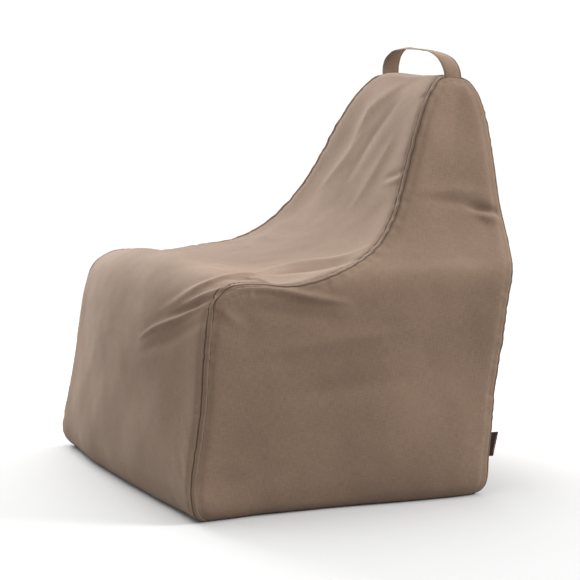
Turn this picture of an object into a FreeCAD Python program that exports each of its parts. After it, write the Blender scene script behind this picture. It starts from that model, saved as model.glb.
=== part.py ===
"""Bean bag lounge chair: a sewn outer cover over a zipped inner liner that holds loose beads.

Millimetres, +Z up, front towards -Y, origin on the floor at the centre of the bounding box.

The bag's form is one side outline (in YZ) swept across X, trimmed by one front outline (in XZ).
Both outlines are inset in steps for the cover cloth, the air gap inside it, the liner cloth and
the room around the beads, and each sewn panel is a piece of the slice between two steps.
"""

import FreeCAD, Part

import math
import os

import Sketcher

App = FreeCAD
V = App.Vector
doc = App.newDocument("bean_bag_chair")

# ---------------------------------------------------------------- driving dimensions

SIZES = {
    # the bag's overall sizes
    "overall_depth": 788,
    "body_height": 884,
    "base_width": 860,
    # side outline, seen from the side
    "front_plinth": 70,
    "front_lean": 60,
    "seat_front_height": 478,
    "seat_low_reach": 224,
    "seat_low_height": 455,
    "back_foot_height": 535,
    "back_foot_depth": 287,
    "back_top_depth": 118,
    "crown_setback": 14,
    "rear_knee_high": 700,
    "rear_knee_low": 580,
    "rear_undercut": 122,
    "front_foot_radius": 40,
    "front_bow_radius": 300,
    "seat_front_radius": 50,
    "seat_low_radius": 200,
    "lap_radius": 170,
    "brow_radius": 25,
    "crown_radius": 25,
    "rear_knee_radius": 350,
    "rear_foot_radius": 35,
    # front outline, seen from the front
    "side_plinth": 62,
    "seat_width": 778,
    "shoulder_height": 468,
    "neck_width": 510,
    "neck_height": 636,
    "top_width": 318,
    "side_foot_radius": 32,
    "side_bow_radius": 300,
    "shoulder_radius": 60,
    "neck_radius": 250,
    "top_corner_radius": 15,
    # cloths and the room between them
    "cover_cloth": 1.2,
    "liner_gap": 3.6,
    "liner_cloth": 0.8,
    "bead_gap": 3.6,
    "base_lip": 12,
    "rear_seam_drop": 50,
    # carrying handle
    "handle_width": 43,
    "handle_cloth": 3,
    "handle_rise": 63,
    "handle_span": 322,
    "handle_splay": 8,
    "handle_bend_radius": 42,
    "handle_setback": 49,
    "handle_lift": 0.5,
    "patch_length": 48,
    "patch_cloth": 1,
    # label tab on the right rear seam
    "label_length": 17,
    "label_height": 50,
    "label_cloth": 1,
    "label_low_edge": 80,
    "label_inset": 8,
    "label_lift": 0.5,
    # zips, one in the cover and one in the liner, across the rear panel
    "cover_zip_length": 600,
    "cover_zip_rise": 150,
    "liner_zip_length": 400,
    "liner_zip_rise": 330,
    "zip_slot": 14,
    "tape_width": 12,
    "tape_cloth": 0.8,
    "tape_tail": 15,
    "coil_width": 2.2,
    "coil_height": 2,
    "coil_split": 1.8,
    "stop_length": 4,
    "stop_play": 0.5,
    "slider_length": 12,
    "slider_width": 11,
    "slider_plate": 1.3,
    "slider_play": 0.4,
    "slider_web": 0.7,
    "slider_web_length": 4,
    "slider_lip": 1.6,
    "lug_length": 5.6,
    "lug_width": 3,
    "lug_height": 5,
    "eye_radius": 1.4,
    "ring_wire_radius": 0.9,
    "ring_width": 10,
    "ring_length": 12,
    "pull_width": 7,
    "pull_length": 30,
    "pull_cloth": 2.8,
    "pull_turnover": 2,
}

sheet = doc.addObject("Spreadsheet::Sheet", "Sizes")
for row, (alias, number) in enumerate(SIZES.items(), start=1):
    sheet.set(f"A{row}", alias)
    sheet.set(f"B{row}", str(number))
    sheet.setAlias(f"B{row}", alias)
doc.recompute()


class Size:
    """A length or a ratio that carries its number and the expression it is bound to."""

    def __init__(self, value, text):
        self.value, self.text = float(value), text

    def _with(self, other, sign, result):
        other = other if isinstance(other, Size) else Size(other, repr(other))
        return Size(result(self.value, other.value), f"({self.text} {sign} {other.text})")

    def __add__(self, other):
        return self._with(other, "+", lambda a, b: a + b)

    def __sub__(self, other):
        return self._with(other, "-", lambda a, b: a - b)

    def __mul__(self, other):
        return self._with(other, "*", lambda a, b: a * b)

    def __truediv__(self, other):
        return self._with(other, "/", lambda a, b: a / b)

    def __neg__(self):
        return self * -1


ZERO = Size(0, "0")


def size(alias):
    """The named cell of the spreadsheet."""
    return Size(sheet.get(alias), f"Sizes.{alias}")


def root(area):
    """The square root of a Size."""
    return Size(math.sqrt(area.value), f"sqrt({area.text})")


def bind(thing, field, length):
    """Bind a feature's field to its spreadsheet expression."""
    thing.setExpression(field, length.text)


# ---------------------------------------------------------------- sketches

IN_YZ = App.Rotation(V(1, 1, 1), 120)  # sketch X along +Y, sketch Y along +Z, normal along +X
IN_XZ = App.Rotation(V(1, 0, 0), 90)  # sketch X along +X, sketch Y along +Z, normal along -Y


def new_sketch(name, rotation):
    """An empty sketch in one of the two upright planes through the origin."""
    sketch = doc.addObject("Sketcher::SketchObject", name)
    sketch.Placement = App.Placement(V(), rotation)
    return sketch


def pin_point(sketch, geometry, end, across, up):
    """Hold one end of a sketch line at a place given by two Sizes."""
    for kind, length in (("DistanceX", across), ("DistanceY", up)):
        held = sketch.addConstraint(Sketcher.Constraint(kind, -1, 1, geometry, end, length.value))
        bind(sketch, f"Constraints[{held}]", length)


def sharp_outline(sketch, corners, construction=False):
    """A closed polygon through the corners, each an (across, up) pair of Sizes."""
    points = [V(across.value, up.value, 0) for across, up in corners]
    first = sketch.GeometryCount
    count = len(points)
    for i in range(count):
        sketch.addGeometry(Part.LineSegment(points[i], points[(i + 1) % count]), construction)
    for i in range(count):
        after = first + (i + 1) % count
        sketch.addConstraint(Sketcher.Constraint("Coincident", first + i, 2, after, 1))
    for i, (across, up) in enumerate(corners):
        pin_point(sketch, first + i, 1, across, up)
    return first


def corner_arc(corner, back, ahead, radius):
    """The arc that rounds a corner, and whether it is drawn from the run before to the run after."""
    half_angle = back.getAngle(ahead) / 2
    centre = corner + (back + ahead).normalize() * (radius / math.sin(half_angle))
    reach = radius / math.tan(half_angle)
    spokes = [corner + back * reach - centre, corner + ahead * reach - centre]
    forward = spokes[0].cross(spokes[1]).z > 0
    if not forward:
        spokes.reverse()
    angles = [math.atan2(spoke.y, spoke.x) for spoke in spokes]
    if angles[1] < angles[0]:
        angles[1] += 2 * math.pi
    return Part.ArcOfCircle(Part.Circle(centre, V(0, 0, 1), radius), *angles), forward


def rounded_outline(sketch, corners):
    """A closed outline of straight runs joined by tangent arcs.

    Each corner is (across, up, radius), where the runs would meet if they were not rounded.
    """
    frame = sharp_outline(sketch, [corner[:2] for corner in corners], construction=True)
    points = [V(across.value, up.value, 0) for across, up, _ in corners]
    count = len(points)
    arcs = []
    for i, (_, _, radius) in enumerate(corners):
        back = (points[i - 1] - points[i]).normalize()
        ahead = (points[(i + 1) % count] - points[i]).normalize()
        arcs.append(corner_arc(points[i], back, ahead, radius.value))
    first = sketch.GeometryCount
    for i in range(count):
        ends = []
        for arc, forward, leaving in ((*arcs[i], True), (*arcs[(i + 1) % count], False)):
            ends.append(arc.EndPoint if forward == leaving else arc.StartPoint)
        sketch.addGeometry(Part.LineSegment(*ends))
    for arc, _ in arcs:
        sketch.addGeometry(arc)
    for i, (_, _, radius) in enumerate(corners):
        run, before, arc = first + i, first + (i - 1) % count, first + count + i
        run_side, before_side = (2, 1) if arcs[i][1] else (1, 2)
        sketch.addConstraint(Sketcher.Constraint("PointOnObject", run, 1, frame + i))
        sketch.addConstraint(Sketcher.Constraint("PointOnObject", run, 2, frame + i))
        sketch.addConstraint(Sketcher.Constraint("Tangent", run, 1, arc, run_side))
        sketch.addConstraint(Sketcher.Constraint("Tangent", before, 2, arc, before_side))
        held = sketch.addConstraint(Sketcher.Constraint("Radius", arc, radius.value))
        bind(sketch, f"Constraints[{held}]", radius)


half_depth = size("overall_depth") / 2
half_base = size("base_width") / 2
seat_front_y = size("front_lean") - half_depth
seat_low_y = size("seat_low_reach") - half_depth
back_foot_y = half_depth - size("back_foot_depth")
back_top_y = half_depth - size("back_top_depth")
crown_y = half_depth - size("crown_setback")
rear_foot_y = half_depth - size("rear_undercut")
body_height = size("body_height")

side_outline = new_sketch("side_outline", IN_YZ)
rounded_outline(side_outline, [
    (-half_depth, ZERO, size("front_foot_radius")),
    (-half_depth, size("front_plinth"), size("front_bow_radius")),
    (seat_front_y, size("seat_front_height"), size("seat_front_radius")),
    (seat_low_y, size("seat_low_height"), size("seat_low_radius")),
    (back_foot_y, size("back_foot_height"), size("lap_radius")),
    (back_top_y, body_height, size("brow_radius")),
    (crown_y, body_height, size("crown_radius")),
    (half_depth, size("rear_knee_high"), size("rear_knee_radius")),
    (half_depth, size("rear_knee_low"), size("rear_knee_radius")),
    (rear_foot_y, ZERO, size("rear_foot_radius")),
])

front_half = [
    (half_base, ZERO, size("side_foot_radius")),
    (half_base, size("side_plinth"), size("side_bow_radius")),
    (size("seat_width") / 2, size("shoulder_height"), size("shoulder_radius")),
    (size("neck_width") / 2, size("neck_height"), size("neck_radius")),
    (size("top_width") / 2, body_height, size("top_corner_radius")),
]
front_outline = new_sketch("front_outline", IN_XZ)
rounded_outline(front_outline, front_half + [(-x, z, r) for x, z, r in reversed(front_half)])

# ---------------------------------------------------------------- small builders

CUT_MARGIN = Size(20, "20")  # how far a cutting solid runs past what it cuts


def feature(kind, name, **sizes):
    """A document object with its sizes bound to expressions."""
    thing = doc.addObject(kind, name)
    for field, length in sizes.items():
        bind(thing, field, length)
    return thing


def boolean(kind, name, base, tool):
    """Part::Cut or Part::Common of two features."""
    thing = doc.addObject(f"Part::{kind}", name)
    thing.Base, thing.Tool = base, tool
    return thing


def gathered(kind, name, pieces):
    """Part::MultiFuse of pieces that join, or Part::Compound of pieces that stay apart."""
    thing = doc.addObject(f"Part::{kind}", name)
    setattr(thing, "Shapes" if kind == "MultiFuse" else "Links", pieces)
    return thing


def extruded(name, outline, direction, length):
    """A solid swept both ways from a closed outline."""
    thing = feature("Part::Extrusion", name, LengthFwd=length)
    thing.Base, thing.DirMode, thing.Dir = outline, "Custom", direction
    thing.Solid, thing.Symmetric = True, True
    thing.FaceMakerClass = "Part::FaceMakerSimple"  # an inset outline is one loop, not marked closed
    return thing


def inset(outline, depth):
    """The outline moved inwards by a depth, or the outline itself at no depth."""
    if not depth.value:
        return outline
    thing = feature("Part::Offset2D", f"{outline.Name}_inset", Value=-depth)
    thing.Source, thing.Mode, thing.Join = outline, "Skin", "Intersection"
    return thing


def box(name, low, high):
    """A box between two corners, each three Sizes."""
    spans = {field: b - a for field, a, b in zip(("Length", "Width", "Height"), low, high)}
    thing = feature("Part::Box", name, **spans)
    for letter, place in zip("xyz", low):
        bind(thing, f"Placement.Base.{letter}", place)
    return thing


# The flat lower part of the rear panel has axes of its own: x across, n straight out of the
# panel and w up its slope, from the line where the panel's plane meets the floor.
rear_slope = root(size("rear_undercut") * size("rear_undercut")
                  + size("rear_knee_low") * size("rear_knee_low"))
lean_sine = size("rear_undercut") / rear_slope
lean_cosine = size("rear_knee_low") / rear_slope
LEAN_AXIS = V(-1, 0, 0)


def on_rear(x, n, w):
    """The place of a point given along the rear panel's own axes."""
    return x, rear_foot_y + n * lean_cosine + w * lean_sine, w * lean_cosine - n * lean_sine


def lay_on_rear(thing, x, n, w):
    """Lean a feature with the rear panel and bind its place there."""
    thing.Placement = App.Placement(V(), LEAN_AXIS, 1)
    bind(thing, "Placement.Rotation.Angle", Size(0, f"atan({lean_sine.text} / {lean_cosine.text})"))
    for letter, place in zip("xyz", on_rear(x, n, w)):
        bind(thing, f"Placement.Base.{letter}", place)


def rear_box(name, x, n, w):
    """A box on the rear panel, each argument a (from, to) pair along one of its own axes."""
    spans = {field: b - a for field, (a, b) in zip(("Length", "Width", "Height"), (x, n, w))}
    thing = feature("Part::Box", name, **spans)
    lay_on_rear(thing, x[0], n[0], w[0])
    return thing


def both_ways(half):
    """The pair from minus a half-length to plus it."""
    return -half, half


NODES = {}


def node(name, thing):
    """Name a finished piece: its label is its file's name."""
    thing.Label = name
    NODES[name] = thing
    return thing


# ---------------------------------------------------------------- cover, liner and beads

ACROSS, ALONG = V(1, 0, 0), V(0, 1, 0)
overall_width = size("base_width") + CUT_MARGIN
cover_cloth, liner_cloth = size("cover_cloth"), size("liner_cloth")
liner_depth = cover_cloth + size("liner_gap")
bead_depth = liner_depth + liner_cloth + size("bead_gap")

rear_region = new_sketch("rear_region", IN_YZ)
seam_height = body_height - size("rear_seam_drop")
sharp_outline(rear_region, [
    (rear_foot_y - size("rear_foot_radius") * 2, -CUT_MARGIN),
    (half_depth + CUT_MARGIN, -CUT_MARGIN),
    (half_depth + CUT_MARGIN, seam_height),
    ((back_top_y + crown_y) / 2, seam_height),
])
rear_zone = extruded("rear_zone", rear_region, ACROSS, overall_width)
right_half = box("right_half", (ZERO, -half_depth - CUT_MARGIN, -CUT_MARGIN),
                 (half_base + CUT_MARGIN, half_depth + CUT_MARGIN, body_height + CUT_MARGIN))


def forms(name, depth):
    """The side and the front outline swept to solids, both inset by a depth."""
    return (extruded(f"{name}_side_form", inset(side_outline, depth), ACROSS, overall_width),
            extruded(f"{name}_front_form", inset(front_outline, depth), ALONG,
                     size("overall_depth") + CUT_MARGIN))


def sewn_shell(name, depth, cloth):
    """The panels of one sewn bag, as unfinished pieces: centre, rear, base, left and right."""
    side, front = forms(name, depth)
    side_inner, front_inner = forms(f"{name}_inner", depth + cloth)
    reach_x, reach_y = half_base + CUT_MARGIN, half_depth + CUT_MARGIN
    base_zone = box(f"{name}_base_zone", (-reach_x, -reach_y, -CUT_MARGIN),
                    (reach_x, reach_y, depth + size("base_lip")))
    whole = boolean("Common", f"{name}_whole", side, front)
    hollow = boolean("Common", f"{name}_hollow", side_inner, front_inner)
    walls = boolean("Cut", f"{name}_walls", whole, hollow)
    base = boolean("Common", f"{name}_base", walls, base_zone)
    upright = boolean("Cut", f"{name}_upright", walls, base_zone)
    wrap = boolean("Cut", f"{name}_wrap", upright, side_inner)
    ends = boolean("Common", f"{name}_ends", upright, side_inner)
    return {
        "centre": boolean("Cut", f"{name}_centre", wrap, rear_zone),
        "rear": boolean("Common", f"{name}_rear", wrap, rear_zone),
        "base": base,
        "left": boolean("Cut", f"{name}_left", ends, right_half),
        "right": boolean("Common", f"{name}_right", ends, right_half),
    }


cover = sewn_shell("cover", ZERO, cover_cloth)
liner = sewn_shell("liner", liner_depth, liner_cloth)
for bag, panels in (("", cover), ("liner_", liner)):
    node(f"{bag}centre_panel", panels["centre"])
    node(f"{bag}left_side_panel", panels["left"])
    node(f"{bag}right_side_panel", panels["right"])
    node(f"{bag}base_panel", panels["base"])

node("bead_fill", boolean("Common", "bead_fill", *forms("bead", bead_depth)))

# ---------------------------------------------------------------- zips


def zip_slot(name, length, rise, depth, cloth):
    """The slot in the rear panel that a zip closes."""
    return rear_box(name, both_ways(length / 2), (-depth - cloth - CUT_MARGIN, -depth + CUT_MARGIN),
                    (rise - size("zip_slot") / 2, rise + size("zip_slot") / 2))


def zip_chain(name, length, rise, depth, cloth):
    """Tapes sewn inside the slot's edges, a coil on each and a stop at each end."""
    half = length / 2
    tape_out = -depth - cloth
    tape_in = tape_out - size("tape_cloth")
    middle = (tape_out + tape_in) / 2
    coil_faces = (middle - size("coil_height") / 2, middle + size("coil_height") / 2)
    split, coil = size("coil_split") / 2, size("coil_split") / 2 + size("coil_width")
    tape_edge = coil + size("tape_width")
    coil_half = half - size("stop_length")
    for side, coil_span, tape_span in (
            ("upper", (rise + split, rise + coil), (rise + coil, rise + tape_edge)),
            ("lower", (rise - coil, rise - split), (rise - tape_edge, rise - coil))):
        node(f"{name}_zip_{side}_coil",
             rear_box(f"{name}_{side}_coil", both_ways(coil_half), coil_faces, coil_span))
        node(f"{name}_zip_{side}_tape",
             rear_box(f"{name}_{side}_tape", both_ways(half + size("tape_tail")),
                      (tape_in, tape_out), tape_span))
    across = (rise - coil, rise + coil)
    stops = [rear_box(f"{name}_stop_{i}", span, coil_faces, across)
             for i, span in enumerate(((-half, -coil_half), (coil_half, half)))]
    node(f"{name}_zip_stops", gathered("Compound", f"{name}_stops", stops))
    return middle, coil_half


def slider_body(name, at, rise, middle, lug):
    """A slider at its closed end: two plates round the coils, joined by a web, and a lug."""
    play, plate = size("slider_play"), size("slider_plate")
    reach = size("coil_height") / 2 + play
    x = (at - size("slider_length"), at)
    half_width = size("slider_width") / 2
    w = (rise - half_width, rise + half_width)
    centre = at - size("slider_length") / 2
    web_half = size("slider_web_length") / 2
    lip_reach = size("tape_cloth") / 2 + play
    pieces = [
        rear_box(f"{name}_outer_plate", x, (middle + reach, middle + reach + plate), w),
        rear_box(f"{name}_inner_plate", x, (middle - reach - plate, middle - reach), w),
        rear_box(f"{name}_web", (centre - web_half, centre + web_half), (middle - reach, middle + reach),
                 (rise - size("slider_web") / 2, rise + size("slider_web") / 2)),
    ]
    lips = ((rise - half_width, rise - half_width + size("slider_lip")),
            (rise + half_width - size("slider_lip"), rise + half_width))
    for i, lip in enumerate(lips):
        pieces.append(rear_box(f"{name}_outer_lip_{i}", x, (middle + lip_reach, middle + reach), lip))
        pieces.append(rear_box(f"{name}_inner_lip_{i}", x, (middle - reach, middle - lip_reach), lip))
    if not lug:
        return gathered("MultiFuse", name, pieces), centre, middle + reach + plate
    lug_half = size("lug_width") / 2
    lug_reach = size("lug_length") / 2
    top = middle + reach + plate
    pieces.append(rear_box(f"{name}_lug", (centre - lug_reach, centre + lug_reach),
                           (top, top + size("lug_height")), (rise - lug_half, rise + lug_half)))
    whole = gathered("MultiFuse", f"{name}_whole", pieces)
    eye_n = top + size("lug_height") / 2
    eye = feature("Part::Cylinder", f"{name}_eye", Radius=size("eye_radius"),
                  Height=size("lug_width") + CUT_MARGIN)
    lay_on_rear(eye, centre, eye_n, rise - lug_half - CUT_MARGIN / 2)
    return boolean("Cut", name, whole, eye), centre, eye_n


cover_zip_rise, liner_zip_rise = size("cover_zip_rise"), size("liner_zip_rise")
cover_slot = zip_slot("cover_slot", size("cover_zip_length"), cover_zip_rise, ZERO, cover_cloth)
liner_slot = zip_slot("liner_slot", size("liner_zip_length"), liner_zip_rise, liner_depth, liner_cloth)
# The rear panel crowns out past its own plane, so the dividing solid reaches well clear of it.
beyond_crown = CUT_MARGIN * 3
beyond_top = body_height * 2
above_zip = rear_box("above_zip", both_ways(half_base + CUT_MARGIN),
                     (-size("overall_depth"), beyond_crown), (cover_zip_rise, beyond_top))
slotted_rear = boolean("Cut", "slotted_rear", cover["rear"], cover_slot)
node("rear_panel_upper", boolean("Common", "rear_upper", slotted_rear, above_zip))
node("rear_panel_lower", boolean("Cut", "rear_lower", slotted_rear, above_zip))
node("liner_rear_panel", boolean("Cut", "liner_slotted_rear", liner["rear"], liner_slot))

zip_middle, zip_half = zip_chain("cover", size("cover_zip_length"), cover_zip_rise, ZERO, cover_cloth)
slider, eye_x, eye_n = slider_body("cover_slider", zip_half - size("stop_play"), cover_zip_rise,
                                   zip_middle, lug=True)
node("cover_zip_slider", slider)
liner_middle, liner_half = zip_chain("liner", size("liner_zip_length"), liner_zip_rise, liner_depth,
                                     liner_cloth)
node("liner_zip_slider", slider_body("liner_slider", liner_half - size("stop_play"), liner_zip_rise,
                                     liner_middle, lug=False)[0])


def ring_bar(name, x, w, along_w):
    """One bar of the pull ring, up the slope or across, from its middle line's low end."""
    length = size("ring_width") if along_w else size("ring_length")
    bar = feature("Part::Cylinder", name, Radius=size("ring_wire_radius"), Height=length)
    if along_w:
        lay_on_rear(bar, x, eye_n, w)
        return bar
    bar.Placement = App.Placement(V(), V(0, 1, 0), 90)
    for letter, place in zip("xyz", on_rear(x, eye_n, w)):
        bind(bar, f"Placement.Base.{letter}", place)
    return bar


ring_low, ring_high = both_ways(size("ring_width") / 2)
ring_low, ring_high = cover_zip_rise + ring_low, cover_zip_rise + ring_high
ring_far = eye_x - size("ring_length")
ring_pieces = [
    ring_bar("ring_eye_bar", eye_x, ring_low, True),
    ring_bar("ring_far_bar", ring_far, ring_low, True),
    ring_bar("ring_low_bar", ring_far, ring_low, False),
    ring_bar("ring_high_bar", ring_far, ring_high, False),
]
ring_corners = ((eye_x, ring_low), (eye_x, ring_high), (ring_far, ring_low), (ring_far, ring_high))
for i, (x, w) in enumerate(ring_corners):
    corner = feature("Part::Sphere", f"ring_corner_{i}", Radius=size("ring_wire_radius"))
    for letter, place in zip("xyz", on_rear(x, eye_n, w)):
        bind(corner, f"Placement.Base.{letter}", place)
    ring_pieces.append(corner)
ring = node("cover_zip_pull_ring", gathered("MultiFuse", "pull_ring", ring_pieces))
pull_strip = rear_box(
    "pull_strip", (ring_far - size("pull_length"), ring_far + size("pull_turnover")),
    (eye_n - size("pull_cloth") / 2, eye_n + size("pull_cloth") / 2),
    (cover_zip_rise - size("pull_width") / 2, cover_zip_rise + size("pull_width") / 2))
pull_tunnel = ring_bar("pull_tunnel", ring_far, ring_low, True)
node("cover_zip_pull_tab", boolean("Cut", "pull_tab", pull_strip, pull_tunnel))

# ---------------------------------------------------------------- carrying handle

handle_y = crown_y - size("handle_setback")
half_strap = size("handle_width") / 2
handle_foot = body_height + size("handle_lift")
handle_pivot = handle_foot + half_strap
handle_top = body_height + size("handle_rise")
foot_x = size("handle_span") / 2
bend_x = foot_x - size("handle_splay")

arch_outline = new_sketch("arch_outline", IN_XZ)
below_foot = handle_foot - CUT_MARGIN
foot_corner = size("handle_cloth") * 2  # round enough that the inset outline keeps a corner
rounded_outline(arch_outline, [
    (foot_x, below_foot, foot_corner),
    (bend_x, handle_top, size("handle_bend_radius")),
    (-bend_x, handle_top, size("handle_bend_radius")),
    (-foot_x, below_foot, foot_corner),
])
strap_reach = size("handle_width") * 2  # wider than the strap, which strap_side then trims
arch_solid = extruded("arch_solid", arch_outline, ALONG, strap_reach)
arch_hole = extruded("arch_hole", inset(arch_outline, size("handle_cloth")), ALONG, strap_reach)
for swept in (arch_solid, arch_hole):
    bind(swept, "Placement.Base.y", handle_y)
arch = boolean("Cut", "arch", arch_solid, arch_hole)
strap_foot = feature("Part::Cylinder", "strap_foot", Radius=half_strap, Height=size("handle_span") * 2)
strap_foot.Placement = App.Placement(V(), V(0, 1, 0), 90)
for letter, place in zip("xyz", (-size("handle_span"), handle_y, handle_pivot)):
    bind(strap_foot, f"Placement.Base.{letter}", place)
strap_rise = box("strap_rise", (-size("handle_span"), handle_y - half_strap, handle_pivot),
                 (size("handle_span"), handle_y + half_strap, handle_top + CUT_MARGIN))
strap_side = gathered("MultiFuse", "strap_side", [strap_foot, strap_rise])
node("handle_strap", boolean("Common", "handle", arch, strap_side))

patch_end = size("top_width") / 2 - size("top_corner_radius")
patch_top = body_height - cover_cloth
for side, low, high in (("left", -patch_end, -patch_end + size("patch_length")),
                        ("right", patch_end - size("patch_length"), patch_end)):
    node(f"handle_patch_{side}", box(
        f"patch_{side}", (low, handle_y - half_strap, patch_top - size("patch_cloth")),
        (high, handle_y + half_strap, patch_top)))

# ---------------------------------------------------------------- label tab

label_x = half_base - size("label_inset")
half_label = size("label_cloth") / 2
label_hinge = size("label_lift") + half_label
label_w = (size("label_low_edge"), size("label_low_edge") + size("label_height"))
label_leaf = rear_box("label_leaf", (label_x - half_label, label_x + half_label),
                      (label_hinge, size("label_length")), label_w)
label_edge = feature("Part::Cylinder", "label_edge", Radius=half_label, Height=size("label_height"))
lay_on_rear(label_edge, label_x, label_hinge, label_w[0])
node("label_tab", gathered("MultiFuse", "label", [label_leaf, label_edge]))

# ---------------------------------------------------------------- checks and files

doc.recompute()
for thing in doc.Objects:
    if "Invalid" in thing.State or "Error" in thing.State:
        raise SystemExit(f"{thing.Label} failed: {thing.State}")
for name, thing in NODES.items():
    if thing.Shape.isNull() or not thing.Shape.isValid() or not thing.Shape.Solids:
        raise SystemExit(f"{name} has no valid solid")

for label, place in (("rear panel axis w", on_rear(ZERO, ZERO, Size(1, "1"))),
                     ("pull hinge", on_rear(eye_x, eye_n, cover_zip_rise)),
                     ("label hinge", on_rear(label_x, label_hinge, label_w[0])),
                     ("handle hinge", (ZERO, handle_y, handle_pivot))):
    print(label, [round(coordinate.value, 3) for coordinate in place])
print("rear foot line", round(rear_foot_y.value, 3), "lean sine and cosine",
      round(lean_sine.value, 5), round(lean_cosine.value, 5))
print("cover zip travel", (zip_half * 2 - size("stop_play") * 2 - size("slider_length")).value)
print("liner zip travel", (liner_half * 2 - size("stop_play") * 2 - size("slider_length")).value)

os.makedirs("parts", exist_ok=True)
for name, thing in NODES.items():
    thing.Shape.exportStep(f"parts/{name}.step")
    extent = thing.Shape.BoundBox
    print(f"{name}: {len(thing.Shape.Solids)} solid, {thing.Shape.Volume:.1f} mm3, "
          f"z {extent.ZMin:.1f} to {extent.ZMax:.1f}")
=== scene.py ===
import math

import bpy
import numpy as np
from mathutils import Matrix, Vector, geometry
from mathutils.bvhtree import BVHTree
from mathutils.kdtree import KDTree


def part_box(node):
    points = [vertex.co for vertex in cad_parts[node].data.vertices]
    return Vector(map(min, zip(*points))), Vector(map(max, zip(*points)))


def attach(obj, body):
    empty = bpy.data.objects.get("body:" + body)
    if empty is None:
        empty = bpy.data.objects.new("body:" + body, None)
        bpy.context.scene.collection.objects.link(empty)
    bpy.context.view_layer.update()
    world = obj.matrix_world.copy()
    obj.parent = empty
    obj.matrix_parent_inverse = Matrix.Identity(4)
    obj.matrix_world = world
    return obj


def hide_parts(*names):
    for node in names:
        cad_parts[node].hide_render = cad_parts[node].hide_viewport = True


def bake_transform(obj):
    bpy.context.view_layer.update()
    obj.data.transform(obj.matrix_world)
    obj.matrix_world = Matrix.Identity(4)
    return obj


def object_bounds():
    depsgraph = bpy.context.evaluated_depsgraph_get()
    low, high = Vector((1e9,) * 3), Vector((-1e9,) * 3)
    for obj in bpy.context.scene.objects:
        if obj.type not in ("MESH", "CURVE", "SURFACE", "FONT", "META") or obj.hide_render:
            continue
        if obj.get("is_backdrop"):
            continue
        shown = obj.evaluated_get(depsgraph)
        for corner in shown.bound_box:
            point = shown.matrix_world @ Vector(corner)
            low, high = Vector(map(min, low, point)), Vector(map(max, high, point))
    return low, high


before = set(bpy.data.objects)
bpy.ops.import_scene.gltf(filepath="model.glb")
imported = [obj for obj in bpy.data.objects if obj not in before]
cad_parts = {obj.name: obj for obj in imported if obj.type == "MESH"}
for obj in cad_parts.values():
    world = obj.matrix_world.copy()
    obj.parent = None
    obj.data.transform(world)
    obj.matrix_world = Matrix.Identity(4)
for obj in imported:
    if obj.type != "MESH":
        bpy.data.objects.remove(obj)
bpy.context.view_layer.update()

MM = 0.001

# ---------------------------------------------------------------- camera

camera = bpy.data.objects.new("camera", bpy.data.cameras.new("camera"))
bpy.context.collection.objects.link(camera)
camera.location = (4.338, -1.888, 0.988)
camera.rotation_euler = (math.radians(90 - 7.03), 0, math.radians(66.45))
camera.data.sensor_width = 36
camera.data.lens = 130.84
bpy.context.scene.camera = camera

# ---------------------------------------------------------------- the bag's lines

# The side seam seen from the side, (y, z) in metres, from the front foot over the seat to the
# brow of the backrest.
FRONT_SEAM = [
    (-0.356, 0.000), (-0.377, 0.004), (-0.390, 0.016), (-0.396, 0.045), (-0.391, 0.090), (-0.380, 0.165),
    (-0.369, 0.250), (-0.359, 0.335), (-0.349, 0.395), (-0.330, 0.440), (-0.292, 0.463),
    (-0.235, 0.466), (-0.165, 0.461), (-0.110, 0.468), (-0.054, 0.482), (0.003, 0.500),
    (0.070, 0.532), (0.120, 0.578), (0.157, 0.636), (0.189, 0.702), (0.221, 0.773),
    (0.260, 0.843), (0.297, 0.880),
]
TOP_EDGE = [(0.297, 0.880), (0.330, 0.884), (0.363, 0.878)]
REAR_SEAM = [
    (0.363, 0.878), (0.378, 0.855), (0.387, 0.812), (0.392, 0.756), (0.393, 0.700),
    (0.391, 0.655), (0.386, 0.595), (0.384, 0.545), (0.373, 0.505), (0.358, 0.472),
    (0.346, 0.430), (0.331, 0.355), (0.304, 0.245), (0.284, 0.140), (0.271, 0.075),
    (0.266, 0.030), (0.258, 0.008), (0.236, 0.000),
]
# Half the bag's width at each height, (x, z).
HALF_WIDTH = [
    (0.400, 0.000), (0.420, 0.004), (0.431, 0.016), (0.435, 0.045), (0.429, 0.090), (0.418, 0.165),
    (0.410, 0.250), (0.401, 0.335), (0.393, 0.415), (0.389, 0.455), (0.380, 0.478),
    (0.352, 0.502), (0.308, 0.548), (0.268, 0.614), (0.240, 0.675), (0.215, 0.749),
    (0.193, 0.813), (0.175, 0.856), (0.154, 0.886),
]

MESH_STEP = 5.5 * MM
ZIP_RISE = 150 * MM            # up the rear panel's slope, as the zips' own nodes are
ZIP_HALF = 300 * MM
ZIP_SLOT_HALF = 7 * MM
WELD = 0.2 * MM                # panel edges this near each other are one seam
REAR_SEAM_DROP = 50 * MM
BODY_HEIGHT = 884 * MM


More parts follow.
